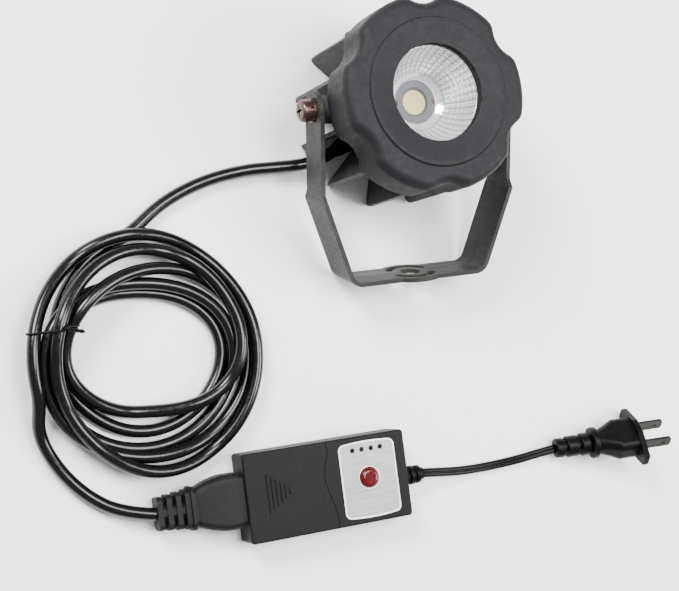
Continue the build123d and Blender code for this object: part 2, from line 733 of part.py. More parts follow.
def make_twist_tie():
    """A flat band of coated wire round the coil's west side, with a short twisted end."""
    middle_x = COIL_CENTRE[0] - (COIL_OUTER[0] + COIL_INNER[0]) / 2
    width = COIL_OUTER[0] - COIL_INNER[0] + 1.6
    middle_height = COIL_HEIGHT / 2 + 0.45
    outer = Pos(0, middle_height) * RectangleRounded(width + 2 * TIE_THICKNESS, COIL_HEIGHT + 0.8, 4.5)
    inner = Pos(0, middle_height) * RectangleRounded(width, COIL_HEIGHT - 0.4, 4.0)
    band = extrude(Plane.XZ * (outer - inner), TIE_WIDTH / 2, both=True)
    tail = Pos(width / 2 + 2.9, -1.0, 5.0) * Rot(0, 0, -25) * Rot(0, 90, 0) * Cylinder(0.9, 6)
    return Pos(middle_x, COIL_CENTRE[1] + TIE_OFFSET, 0) * (band + tail)


# ------------------------------------------------------------------ connector
def across(x, width, height, corner):
    """A rounded rectangle that stands across the connector's axis at one place along it."""
    plane = Plane((x, 0, 0), x_dir=(0, 1, 0), z_dir=(1, 0, 0))
    return plane * RectangleRounded(width, height, corner)


def plate_across(west, east, width, height, corner):
    return extrude(across(west, width, height, corner), east - west)


CONNECTOR = Pos(0, BOX_CENTRE_Y, AXIS_HEIGHT)


def make_connector_body():
    shoulder = [across(*station) for station in SHOULDER]
    body = loft(Sketch() + shoulder)
    for plate in CONNECTOR_PLATES:
        body += plate_across(*plate)
    socket_hole = cross_rod(SOCKET_RADIUS + RUNNING_GAP, SOCKET_WEST - 0.2, BOX_WEST + CUT)
    for side in (-1, 1):
        body -= Pos(0, side * PIN_SPACING / 2, 0) * socket_hole
    return CONNECTOR * body


def make_connector_sockets():
    tube = cross_ring(SOCKET_RADIUS, PIN_RADIUS + RUNNING_GAP, SOCKET_WEST, BOX_WEST - 0.4)
    return CONNECTOR * group([Pos(0, side * PIN_SPACING / 2, 0) * tube for side in (-1, 1)])


def make_connector_boot():
    length = BOOT_EAST - BOOT_WEST
    start = Pos(BOOT_WEST, 0, 0)
    boot = cross_rod(CORD / 2 + 1.3, BOOT_WEST, BOOT_EAST)
    boot += start * Box(length, 15.0, 2.4, align=WEST) + start * Box(length, 3.0, 9.6, align=WEST)
    pitch = (length - BOOT_RIB) / (BOOT_RIBS - 1)
    for index in range(BOOT_RIBS):
        west = BOOT_WEST + index * pitch
        height = BOOT_RIB_HEIGHT + 0.4 * index
        boot += plate_across(west, west + BOOT_RIB, BOOT_RIB_WIDTH + index, height, 3.0)
    return CONNECTOR * boot


# ------------------------------------------------------------------ controller
BOX = Pos(BOX_WEST, BOX_CENTRE_Y, 0)
POSTS = [(7.0, 16.5), (7.0, -16.5), (81.0, 16.5), (81.0, -16.5)]
POST_RADIUS = 3.2
BOARD_THICKNESS = 1.6
CASE_SCREW_RADIUS = 1.1
CASE_SCREW_HEAD = 2.4
CASE_SCREW_SEAT = 1.5
CASE_SCREW_TIP = 12.5
CASE_SCREW_REAR = 0.4


def rounded_block(start, end, inset):
    """The controller's plan shape, inset all round, between two heights."""
    plan = Pos(BOX_LENGTH / 2, 0) * RectangleRounded(
        BOX_LENGTH - 2 * inset, BOX_WIDTH - 2 * inset, max(BOX_CORNER - inset, 0.6)
    )
    return extrude(Pos(0, 0, start) * plan, end - start)


def end_openings():
    """Ways out for the pins at the west end and for the tail lead at the east end."""
    west = Pos(-CUT, 0, AXIS_HEIGHT) * Box(4, 17, 6.6, align=WEST)
    east = cross_rod(RELIEF_HOLE, BOX_LENGTH - 4, BOX_LENGTH + CUT)
    east = Pos(0, TAIL_Y - BOX_CENTRE_Y, AXIS_HEIGHT) * east
    return west + east


def make_controller_base():
    shell = rounded_block(0, BOX_SPLIT, 0)
    shell = chamfer(shell.edges().group_by(Axis.Z)[0], BOX_BOTTOM_BEVEL)
    shell -= rounded_block(BOX_WALL, BOX_SPLIT + 1, BOX_WALL)
    for x, y in POSTS:
        shell += Pos(x, y, 1) * Cylinder(POST_RADIUS, BOARD_TOP - BOARD_THICKNESS - 1, align=BASE)
    for x, y in POSTS:
        shell -= Pos(x, y, 0) * rod(CASE_SCREW_RADIUS + 0.2, -CUT, BOX_SPLIT)
        shell -= Pos(x, y, 0) * rod(CASE_SCREW_HEAD + 0.2, -CUT, CASE_SCREW_SEAT + FIT_GAP)
    return BOX * (shell - end_openings())


def top_shell():
    shell = rounded_block(BOX_SPLIT + 0.1, BOX_HEIGHT, 0)
    shell = fillet(shell.edges().group_by(Axis.Z)[-1], BOX_TOP_ROUND)
    shell -= rounded_block(BOX_SPLIT - 1, BOX_HEIGHT - BOX_WALL, BOX_WALL)
    for x, y in POSTS:
        shell += Pos(x, y, 0) * rod(POST_RADIUS - 0.2, BOARD_TOP + FIT_GAP, BOX_HEIGHT - BOX_WALL + FIT_GAP)
        shell -= Pos(x, y, 0) * rod(CASE_SCREW_RADIUS + RUNNING_GAP, BOARD_TOP - CUT, CASE_SCREW_TIP + 0.5)
    return shell - end_openings()


def west_of_seam(shift):
    """The space on the west side of the wavy seam, moved along X by a small shift."""
    seam = Spline(*[(x + shift, y) for x, y in SEAM])
    north = seam @ 0
    south = seam @ 1
    plan = make_face(
        [
            seam,
            Line(south, (south.X, -BOX_WIDTH)),
            Line((south.X, -BOX_WIDTH), (-CUT, -BOX_WIDTH)),
            Line((-CUT, -BOX_WIDTH), (-CUT, BOX_WIDTH)),
            Line((-CUT, BOX_WIDTH), (north.X, BOX_WIDTH)),
            Line((north.X, BOX_WIDTH), north),
        ]
    )
    return extrude(plan, 2 * BOX_HEIGHT)


def make_controller_cover():
    cover = top_shell() & west_of_seam(0)
    for index in range(ARROW_RIBS):
        half = ARROW_HALF * (1 - index / ARROW_RIBS)
        x = ARROW_WEST + index * ARROW_PITCH
        groove = Box(ARROW_GROOVE, 2 * half, 2, align=CORNER)
        cover -= Pos(x, 0.8, BOX_HEIGHT - ARROW_DEPTH) * groove
    return BOX * cover


def label_outline(grow):
    """The label's plan: rounded corners, with both short edges slightly bowed out."""
    half_x = LABEL_LENGTH / 2 + grow
    half_y = LABEL_WIDTH / 2 + grow
    plan = make_face(
        [
            Line((-half_x, -half_y), (-half_x, half_y)),
            ThreePointArc((-half_x, half_y), (0, half_y + LABEL_BOW), (half_x, half_y)),
            Line((half_x, half_y), (half_x, -half_y)),
            ThreePointArc((half_x, -half_y), (0, -half_y - LABEL_BOW), (-half_x, -half_y)),
        ]
    )
    return Pos(*LABEL_CENTRE) * fillet(plan.vertices(), LABEL_CORNER)


def light_places():
    first = LABEL_CENTRE[0] - 1.5 * LIGHT_PITCH
    return [Pos(first + index * LIGHT_PITCH, LIGHT_ROW_Y, 0) for index in range(4)]


def make_controller_lid():
    lid = top_shell() - west_of_seam(SEAM_GAP)
    lid -= extrude(Pos(0, 0, BOX_HEIGHT - LABEL_RECESS) * label_outline(FIT_GAP), 2)
    lid -= Pos(*BUTTON_CENTRE, 0) * rod(BUTTON_HOLE, BOX_HEIGHT - 4, BOX_HEIGHT + CUT)
    for place in light_places():
        lid -= place * rod(LIGHT_RADIUS + RUNNING_GAP, BOX_HEIGHT - 4, BOX_HEIGHT + CUT)
    return BOX * lid


def make_label_plate():
    plate = extrude(Pos(0, 0, BOX_HEIGHT - LABEL_RECESS) * label_outline(0), LABEL_THICKNESS)
    plate -= Pos(*BUTTON_CENTRE, 0) * rod(BUTTON_HOLE, BOX_HEIGHT - CUT, BOX_HEIGHT + CUT)
    for place in light_places():
        plate -= place * rod(LIGHT_RADIUS + RUNNING_GAP, BOX_HEIGHT - CUT, BOX_HEIGHT + CUT)
    return BOX * plate


def make_indicator_lights():
    light = rod(LIGHT_RADIUS, BOARD_TOP + 3, BOX_HEIGHT + 0.6)
    light = fillet(light.edges().group_by(Axis.Z)[-1], 0.5)
    return BOX * group([place * light for place in light_places()])


def make_button_ring():
    top = BOX_HEIGHT + LABEL_THICKNESS - LABEL_RECESS
    collar = ring(BUTTON_HOLE + RING_WIDTH, BUTTON_HOLE, top, top + RING_HEIGHT)
    collar = fillet(collar.edges().group_by(Axis.Z)[-1], 0.2)
    return BOX * Pos(*BUTTON_CENTRE, 0) * collar


def make_set_button():
    cap = rod(BUTTON_RADIUS, BUTTON_FLANGE_REAR, BUTTON_TOP)
    cap = fillet(cap.edges().group_by(Axis.Z)[-1], BUTTON_ROUND)
    cap += rod(BUTTON_RADIUS + 1.2, BUTTON_FLANGE_REAR, BUTTON_FLANGE_TOP)
    cap += rod(STEM_RADIUS, PLUNGER_TOP, BUTTON_FLANGE_REAR)
    return BOX * Pos(*BUTTON_CENTRE, 0) * cap


def make_switch_plunger():
    return BOX * Pos(*BUTTON_CENTRE, 0) * rod(PLUNGER_RADIUS, PLUNGER_REAR, PLUNGER_TOP)


def make_button_switch():
    case = Pos(0, 0, BOARD_TOP) * Box(6, 6, 3.4, align=BASE)
    case -= rod(PLUNGER_RADIUS + RUNNING_GAP, BOARD_TOP + 0.9, BOX_HEIGHT)
    return BOX * Pos(*BUTTON_CENTRE, 0) * case


def make_controller_board():
    middle = Pos(BOX_LENGTH / 2, 0, BOARD_TOP - BOARD_THICKNESS)
    board = middle * Box(BOX_LENGTH - 8, 38, BOARD_THICKNESS, align=BASE)
    for x, y in POSTS:
        board -= Pos(x, y, 0) * rod(1.6, 0, BOX_HEIGHT)
    return BOX * board


def make_board_parts():
    capacitor = Pos(22, -9, BOARD_TOP + 3.6) * Rot(0, 90, 0) * Cylinder(3.5, 12)
    triacs = [Pos(36, 6 - 6 * index, BOARD_TOP) * Box(5, 4, 6, align=BASE) for index in range(3)]
    chip = Pos(50, -6, BOARD_TOP) * Box(10, 6, 1.8, align=BASE)
    dropper = Pos(22, 9, BOARD_TOP) * Box(13, 6, 7, align=BASE)
    return BOX * group([capacitor, chip, dropper] + triacs)


def make_controller_pins():
    pin = cross_rod(PIN_RADIUS, -PIN_REACH, 12)
    pin = fillet(pin.edges().group_by(Axis.X)[0], 0.6)
    pins = group([Pos(0, side * PIN_SPACING / 2, AXIS_HEIGHT) * pin for side in (-1, 1)])
    return BOX * pins


def make_pin_carrier():
    carrier = Pos(0.2, 0, AXIS_HEIGHT) * Box(7, 16.6, 3.6, align=WEST)
    for side in (-1, 1):
        carrier -= Pos(0, side * PIN_SPACING / 2, AXIS_HEIGHT) * cross_rod(PIN_RADIUS, -1, 12)
    return BOX * carrier


def make_controller_screws():
    screw = rod(CASE_SCREW_RADIUS, CASE_SCREW_SEAT, CASE_SCREW_TIP)
    screw += rod(CASE_SCREW_HEAD, CASE_SCREW_REAR, CASE_SCREW_SEAT)
    screw -= cross_recess(M25_RECESS, RECESS_DEPTH, CASE_SCREW_REAR)
    return BOX * group([Pos(x, y, 0) * screw for x, y in POSTS])


def make_strain_relief():
    """A ribbed sleeve held in the lid by an inner flange, with a slot for the flat lead."""
    end = RELIEF_EAST - BOX_WEST
    inner_end = BOX_LENGTH - BOX_WALL - 0.1
    body = cross_rod(RELIEF_NECK, BOX_LENGTH - 3, end - 0.3)
    body += cross_rod(RELIEF_FLANGE, BOX_LENGTH - 3.6, inner_end)
    for start, length, radius in RELIEF_RIBS:
        west = BOX_LENGTH + start
        rib = cross_rod(radius, west, west + length)
        body += fillet(rib.edges().filter_by(GeomType.CIRCLE), 0.4)
    return BOX * Pos(0, TAIL_Y - BOX_CENTRE_Y, AXIS_HEIGHT) * body


# ------------------------------------------------------------------ tail lead and plug
def make_tail_cord():
    section = SlotOverall(TAIL_WIDTH, TAIL_THICKNESS)
    area = (TAIL_WIDTH - TAIL_THICKNESS) * TAIL_THICKNESS + math.pi * TAIL_THICKNESS**2 / 4
    return cord_tube("tail_cord", TAIL_ROUTE, section, area)


PLUG = Pos(*TAIL_ROUTE[-1]) * Rot(0, -PLUG_PITCH, 0) * Rot(PLUG_ROLL, 0, 0)


def make_plug_boot():
    boot = cross_rod(PLUG_BOOT_CORE, 0, PLUG_BOOT_LENGTH - PLUG_COLLAR)
    for start, length, radius in PLUG_BOOT_RIBS:
        segment = cross_rod(radius, start, start + length)
        boot += fillet(segment.edges().filter_by(GeomType.CIRCLE), 0.8)
    web = Box(PLUG_BOOT_LENGTH - PLUG_COLLAR - 2, 9.4, 2.6, align=WEST)
    return PLUG * (boot + Pos(2, 0, 0) * web)


def plug_flange():
    """The hexagonal front plate, standing across the plug's axis."""
    half_long = FLANGE_LONG / 2
    half_end = FLANGE_END / 2
    half_short = FLANGE_SHORT / 2
    waist = BLADE_PITCH / 3
    corner = [(-half_long, -half_end), (-waist, -half_short), (waist, -half_short), (half_long, -half_end)]
    opposite = [(-x, -y) for x, y in corner]
    hexagon = Polygon(*corner, *opposite, align=None)
    hexagon = fillet(hexagon.vertices(), 1.6)
    end = PLUG_BOOT_LENGTH + PLUG_BODY_LENGTH
    plane = Plane((end, 0, 0), x_dir=(0, 1, 0), z_dir=(1, 0, 0))
    flange = extrude(plane * hexagon, PLUG_FLANGE)
    return fillet(flange.edges().group_by(Axis.X)[-1], 0.6)


def make_plug_body():
    start = PLUG_BOOT_LENGTH - PLUG_COLLAR
    shoulder = start + PLUG_SHOULDER
    collar = cross_rod(PLUG_COLLAR_RADIUS, start, start + PLUG_COLLAR)
    body = fillet(collar.edges().filter_by(GeomType.CIRCLE), 0.9)
    sections = [across(start + place, width, height, corner) for place, width, height, corner in PLUG_NECK]
    sections.append(across(shoulder, *PLUG_GRIP))
    body += loft(Sketch() + sections)
    body += plate_across(shoulder, PLUG_BOOT_LENGTH + PLUG_BODY_LENGTH, *PLUG_GRIP)
    return PLUG * (body + plug_flange())


def make_plug_blades():
    start = PLUG_BOOT_LENGTH + PLUG_BODY_LENGTH + PLUG_FLANGE
    blade = Pos(start, 0, 0) * Box(BLADE_LENGTH, BLADE_THICKNESS, BLADE_WIDTH, align=WEST)
    tip = blade.edges().filter_by(Axis.Y).group_by(Axis.X)[-1]
    blade = fillet(tip, BLADE_CORNER)
    blade -= Pos(start + BLADE_LENGTH - BLADE_HOLE_INSET, 0, 0) * Rot(90, 0, 0) * Cylinder(BLADE_HOLE, 4)
    return PLUG * group([Pos(0, side * BLADE_PITCH / 2, 0) * blade for side in (-1, 1)])


# ------------------------------------------------------------------ assembly
LAMP_PARTS = {
    "heat_sink": make_heat_sink,
    "rear_cover": make_rear_cover,
    "rear_gasket": make_rear_gasket,
    "rear_cover_screws": make_rear_cover_screws,
    "bezel": make_bezel,
    "bezel_gasket": make_bezel_gasket,
    "bezel_screws": make_bezel_screws,
    "lens_glass": make_lens_glass,
    "lens_gasket": make_lens_gasket,
    "reflector": make_reflector,
    "cob_board": make_cob_board,
    "cob_phosphor": make_cob_phosphor,
    "thermal_pad": make_thermal_pad,
    "cob_holder": make_cob_holder,
    "holder_screws": make_holder_screws,
    "driver_board": make_driver_board,
    "driver_parts": make_driver_parts,
    "cable_gland": make_cable_gland,
    "gland_seal": make_gland_seal,
    "gland_nut": make_gland_nut,
    "pivot_bolts": make_pivot_bolts,
    "flat_washers": make_flat_washers,
    "spring_washers": make_spring_washers,
    "friction_washers": make_friction_washers,
    "bracket": make_bracket,
}
CORD_PARTS = {
    "lamp_lead": make_lamp_lead,
    "cord_coil": make_cord_coil,
    "return_lead": make_return_lead,
    "twist_tie": make_twist_tie,
    "connector_boot": make_connector_boot,
    "connector_body": make_connector_body,
    "connector_sockets": make_connector_sockets,
    "controller_base": make_controller_base,
    "controller_cover": make_controller_cover,
    "controller_lid": make_controller_lid,
    "label_plate": make_label_plate,
    "indicator_lights": make_indicator_lights,
    "button_ring": make_button_ring,
    "set_button": make_set_button,
    "switch_plunger": make_switch_plunger,
    "button_switch": make_button_switch,
    "controller_board": make_controller_board,
    "board_parts": make_board_parts,
    "controller_pins": make_controller_pins,
    "pin_carrier": make_pin_carrier,
    "controller_screws": make_controller_screws,
    "strain_relief": make_strain_relief,
    "tail_cord": make_tail_cord,
    "plug_boot": make_plug_boot,
    "plug_body": make_plug_body,
    "plug_blades": make_plug_blades,
}

os.makedirs("parts", exist_ok=True)
for name, make in LAMP_PARTS.items():
    NODES[name] = make()
lamp_box = group([NODES[name] for name in LAMP_PARTS]).bounding_box()
axis_shift = -lamp_box.center().Y
print("lamp axis at y", round(axis_shift, 3), "bracket tilt", round(bracket_tilt(), 3))
for name, make in CORD_PARTS.items():
    NODES[name] = make()
for name, shape in NODES.items():
    export_step(Pos(0, axis_shift, 0) * shape, f"parts/{name}.step")
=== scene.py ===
import math

import bpy
import bmesh
from mathutils import Matrix, Vector


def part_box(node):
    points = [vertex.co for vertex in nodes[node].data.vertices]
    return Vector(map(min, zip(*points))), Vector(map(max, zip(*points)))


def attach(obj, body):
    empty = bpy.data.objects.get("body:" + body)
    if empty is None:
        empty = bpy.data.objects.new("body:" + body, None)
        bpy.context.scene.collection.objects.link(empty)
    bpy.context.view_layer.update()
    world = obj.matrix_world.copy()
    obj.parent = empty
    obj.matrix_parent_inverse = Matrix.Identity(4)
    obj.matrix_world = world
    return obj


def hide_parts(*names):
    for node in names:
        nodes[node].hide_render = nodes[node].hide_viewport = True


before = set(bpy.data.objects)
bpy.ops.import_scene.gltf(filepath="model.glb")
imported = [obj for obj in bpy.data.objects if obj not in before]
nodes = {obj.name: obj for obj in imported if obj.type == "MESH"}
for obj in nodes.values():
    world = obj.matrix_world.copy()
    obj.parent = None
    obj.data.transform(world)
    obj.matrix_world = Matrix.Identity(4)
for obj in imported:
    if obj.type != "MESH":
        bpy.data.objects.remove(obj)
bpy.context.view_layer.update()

# The lamp's axis stands upright through the middle of its lens; the routes are drawn about it.
LENS_LOW, LENS_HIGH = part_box("lens_glass")
AXIS = Vector((0.0, (LENS_LOW.y + LENS_HIGH.y) / 2, 0.0))
MM = 0.001


def about_axis(points):
    """Points given about the lamp's axis in millimetres, as points of the frame in metres."""
    return [AXIS + Vector(point) * MM for point in points]


# ------------------------------------------------------------------ camera
# The photo's view of the lamp, 67 degrees up and about 0.75 m away: the camera's place, and the
# picture's right and up.
CAMERA_PLACE = AXIS + Vector((-0.31895, -0.10557, 0.66831))
CAMERA_RIGHT = Vector((0.91361733, -0.12800690, 0.38589843))
CAMERA_UP = Vector((0.11000694, 0.99156945, 0.06847264))
LENS_MM = 73.8
SENSOR_MM = 36.0


def make_camera():
    data = bpy.data.cameras.new("camera")
    data.lens = LENS_MM
    data.sensor_width = SENSOR_MM
    camera = bpy.data.objects.new("camera", data)
    bpy.context.scene.collection.objects.link(camera)
    back = CAMERA_RIGHT.cross(CAMERA_UP)
    turn = Matrix((CAMERA_RIGHT, CAMERA_UP, back)).transposed()
    camera.matrix_world = Matrix.Translation(CAMERA_PLACE) @ turn.to_4x4()
    bpy.context.scene.camera = camera


# ------------------------------------------------------------------ materials
BEVEL_SAMPLES = 4
# The cosine between the rounded normal and the face's, in the middle of an edge and where it ends.
EDGE_FULL = 0.90
EDGE_END = 0.995


class Shader:
    """A principled material with short helpers for its procedural parts."""

    def __init__(self, name, color, rough, metallic=0.0, **sockets):
        self.material = bpy.data.materials.new(name)
        self.material.use_nodes = True
        self.tree = self.material.node_tree
        self.surface = self.tree.nodes["Principled BSDF"]
        self.set("Base Color", (*color, 1.0))
        self.set("Roughness", rough)
        self.set("Metallic", metallic)
        for socket, value in sockets.items():
            self.set(socket.replace("_", " "), value)
        self.place = self.add("ShaderNodeTexCoord").outputs["Object"]
        self.normal = None

    def set(self, socket, value):
        self.surface.inputs[socket].default_value = value

    def add(self, kind, **inputs):
        node = self.tree.nodes.new(kind)
        for socket, value in inputs.items():
            self.give(node.inputs[socket.replace("_", " ")], value)
        return node

    def give(self, socket, value):
        if isinstance(value, bpy.types.NodeSocket):
            self.tree.links.new(value, socket)
        else:
            socket.default_value = value

    def stretched(self, scale):
        return self.add("ShaderNodeMapping", Vector=self.place, Scale=scale).outputs["Vector"]

    def noise(self, scale, detail=3.0, stretch=None):
        """Noise with about this many features to the metre."""
        where = self.stretched(stretch) if stretch else self.place
        node = self.add("ShaderNodeTexNoise", Vector=where, Scale=scale, Detail=detail)
        return node.outputs["Fac"]

    def cells(self, scale):
        return self.add("ShaderNodeTexVoronoi", Vector=self.place, Scale=scale).outputs["Distance"]

    def ramp(self, value, low, high, start, end):
        """A value between low and high, carried over to between start and end and held there."""
        node = self.add("ShaderNodeMapRange", Value=value)
        node.inputs["From Min"].default_value = low
        node.inputs["From Max"].default_value = high
        node.inputs["To Min"].default_value = start
        node.inputs["To Max"].default_value = end
        return node.outputs["Result"]

    def mixed(self, factor, first, second):
        node = self.tree.nodes.new("ShaderNodeMix")
        node.data_type = "RGBA"
        self.give(node.inputs["Factor"], factor)
        colors = [socket for socket in node.inputs if socket.type == "RGBA"]
        for socket, color in zip(colors, (first, second)):
            self.give(socket, color if isinstance(color, bpy.types.NodeSocket) else (*color, 1.0))
        return next(socket for socket in node.outputs if socket.type == "RGBA")

    def rounded(self, radius):
        """A normal that rounds sharp edges by a radius, and a mask that is 1 on those edges."""
        bevel = self.add("ShaderNodeBevel", Radius=radius)
        bevel.samples = BEVEL_SAMPLES
        flat = self.add("ShaderNodeNewGeometry").outputs["Normal"]
        match = self.tree.nodes.new("ShaderNodeVectorMath")
        match.operation = "DOT_PRODUCT"
        self.give(match.inputs[0], bevel.outputs["Normal"])
        self.give(match.inputs[1], flat)
        self.normal = bevel.outputs["Normal"]
        self.give(self.surface.inputs["Normal"], self.normal)
        return self.ramp(match.outputs["Value"], EDGE_FULL, EDGE_END, 1.0, 0.0)

    def math(self, operation, first, second):
        node = self.tree.nodes.new("ShaderNodeMath")
        node.operation = operation
        self.give(node.inputs[0], first)
        self.give(node.inputs[1], second)
        return node.outputs["Value"]

    def nearest_line(self, value):
        """How far a number is from the nearest whole one."""
        return self.math("PINGPONG", value, 0.5)

    def bump(self, height, strength, depth):
        node = self.add("ShaderNodeBump", Height=height, Strength=strength, Distance=depth)
        if self.normal:
            self.give(node.inputs["Normal"], self.normal)
        self.normal = node.outputs["Normal"]
        self.give(self.surface.inputs["Normal"], self.normal)

    def color(self, value):
        self.give(self.surface.inputs["Base Color"], value)

    def roughness(self, value):
        self.give(self.surface.inputs["Roughness"], value)


def coated_metal(name, color, lighter, rough, grain, depth):
    """Sprayed powder coat: a fine orange peel, cloudy colour, and edges painted lighter in patches,
    as rubbed wear and a painted highlight.
    """
    look = Shader(name, color, rough, metallic=0.1, Specular_IOR_Level=0.16)
    edges = look.rounded(0.0004)
    cloud = look.ramp(look.noise(90, 5), 0.35, 0.65, 0.0, 1.0)
    body = look.mixed(cloud, color, [0.78 * part for part in color])
    speck = look.ramp(look.noise(2600, 2), 0.55, 0.75, 0.0, 0.30)
    speckled = look.mixed(speck, body, lighter)
    wear_and_highlight = look.ramp(look.noise(300, 4), 0.40, 0.60, 0.15, 0.8)
    # The edges are painted lighter in patches: rubbed wear, and a painted highlight along them.
    look.color(look.mixed(look.math("MULTIPLY", edges, wear_and_highlight), speckled, lighter))
    look.roughness(look.ramp(look.noise(400, 4), 0.3, 0.7, rough - 0.07, rough + 0.08))
    look.bump(look.noise(grain, 3), 0.35, depth)
    return look.material


def brushed_metal(name, color, rough, stretch, depth, metallic=0.9, shine=0.5):
    """Drawn metal, with fine scratches that run along the axis whose stretch is small."""
    look = Shader(name, color, rough, metallic=metallic, Specular_IOR_Level=shine)
    look.rounded(0.0003)
    lines = look.noise(900, 4, stretch=stretch)
    wide = look.noise(160, 5, stretch=stretch)
    streak = look.ramp(wide, 0.35, 0.7, 0.0, 1.0)
    darker = [0.7 * part for part in color]
    lighter = [min(1.0, 1.3 * part) for part in color]
    look.color(look.mixed(streak, darker, lighter))
    look.roughness(look.ramp(lines, 0.3, 0.7, rough - 0.1, rough + 0.14))
    look.bump(lines, 0.3, depth)
    return look.material


def moulded(name, color, rough, grain, depth, shine=0.3, speckle=0.1):
    """Moulded plastic: a spark-eroded grain, a faint flow pattern and a painted highlight along the
    edges.
    """
    look = Shader(name, color, rough, Specular_IOR_Level=shine)
    edges = look.rounded(0.0003)
    flow = look.ramp(look.noise(60, 3), 0.35, 0.65, 0.0, 1.0)
    lighter = [part * 1.8 + 0.004 for part in color]
    body = look.mixed(flow, color, [part * 1.3 for part in color])
    grains = look.ramp(look.noise(grain, 2), 0.50, 0.68, 0.0, speckle)
    grained = look.mixed(grains, body, lighter)
    # The edges are painted lighter all along: a painted highlight.
    look.color(look.mixed(look.ramp(edges, 0, 1, 0.0, 0.6), grained, lighter))
    look.roughness(look.ramp(look.noise(700, 3), 0.3, 0.7, rough - 0.06, rough + 0.08))
    look.bump(look.noise(grain, 4), 0.3, depth)
    return look.material


def label_metal(name):
    """The label's satin silver, brushed along x."""
    look = Shader(name, (0.28, 0.28, 0.29), 0.38, metallic=0.6)
    lines = look.noise(1500, 3, stretch=(0.04, 1, 1))
    streak = look.ramp(lines, 0.3, 0.7, 0, 1)
    look.color(look.mixed(streak, (0.22, 0.22, 0.23), (0.33, 0.33, 0.34)))
    look.bump(lines, 0.25, 0.00003)
    return look.material


def clear_glass(name):
    """Thin clear glass, seen by its reflections and a little smear."""
    look = Shader(
        name, (0.16, 0.17, 0.17), 0.03, IOR=1.47, Alpha=0.08, Specular_IOR_Level=0.5
    )
    look.roughness(look.ramp(look.noise(220, 4), 0.45, 0.8, 0.02, 0.08))
    return look.material


# Where the painted shade line between two facets is darkest and where it ends, in parts of a facet,
# and the painted shade's grey.
FACET_SHADE_LINE = (0.06, 0.24)
LEVEL_SHADE_TONE = 0.45
FACET_SHADE_GREY = (0.42, 0.42, 0.46)


def mirror_metal(name, rows, columns):
    """Bright metal with a thin grey line of painted shade between the facets, round the axis and up
    the bowl.
    """
    look = Shader(name, (0.97, 0.97, 0.98), 0.12, metallic=0.58)
    low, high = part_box("reflector")
    moved = look.add("ShaderNodeMapping", Vector=look.place, Location=tuple(-AXIS))
    place = moved.outputs["Vector"]
    turn = look.add("ShaderNodeTexGradient", Vector=place)
    turn.gradient_type = "RADIAL"
    up = look.add("ShaderNodeSeparateXYZ", Vector=place).outputs["Z"]
    level = look.ramp(up, low.z, high.z, 0.0, rows)
    around = look.ramp(turn.outputs["Fac"], 0.0, 1.0, 0.0, columns)
    # Thin lines of painted shade between the facets, round the axis and up the bowl.
    lines = [
        look.ramp(look.nearest_line(value), *FACET_SHADE_LINE, 0.0, 1.0) for value in (around, level)
    ]
    smooth = look.ramp(level, 0.5, 1.0, 1.0, 0.0)
    face = look.math("MINIMUM", lines[0], look.math("MAXIMUM", lines[1], LEVEL_SHADE_TONE))
    face = look.math("MAXIMUM", face, smooth)
    mottled = look.math("MULTIPLY", face, look.ramp(look.noise(700, 2), 0.3, 0.7, 0.75, 1.0))
    look.color(look.mixed(mottled, FACET_SHADE_GREY, (1.0, 1.0, 1.0)))
    look.roughness(look.ramp(look.noise(500, 4), 0.35, 0.7, 0.10, 0.2))
    look.bump(look.noise(1400, 2), 0.15, 0.00002)
    return look.material


def phosphor(name):
    """The LED's yellow gel, with the chips showing through as dots."""
    look = Shader(
        name,
        (0.86, 0.72, 0.24),
        0.35,
        Subsurface_Weight=0.1,
        Coat_Weight=0.4,
        Coat_Roughness=0.2,
    )
    dots = look.ramp(look.cells(900), 0.0, 0.5, 1.0, 0.0)
    look.color(look.mixed(dots, (0.80, 0.72, 0.26), (0.72, 0.60, 0.14)))
    look.bump(dots, 0.3, 0.00008)
    return look.material


DARK_PVC = (0.0016, 0.0016, 0.0018)
COATS = {
    # look: name, color, lighter, rough, grain, depth
    "fins": ("fins_coat", (0.040, 0.041, 0.040), (0.13, 0.13, 0.13), 0.48, 1500, 0.00006),
    "bezel": (
        "bezel_coat", (0.0095, 0.0095, 0.0112), (0.050, 0.052, 0.050), 0.58, 1900, 0.00004
    ),
}
METALS = {
    # look: name, color, rough, stretch, depth, metallic, shine
    "bracket": (
        "bracket_coat", (0.021, 0.0225, 0.0195), 0.52, (0.08, 1, 1), 0.00005, 0.1, 0.22
    ),
    "steel": ("zinc_steel", (0.10, 0.062, 0.056), 0.3, (1, 1, 1), 0.00002),
    "copper": ("pin_brass", (0.75, 0.6, 0.35), 0.28, (0.1, 1, 1), 0.00001),
    "nickel": ("blade_nickel", (0.05, 0.048, 0.043), 0.36, (0.08, 1, 1), 0.00002, 1.0),
}
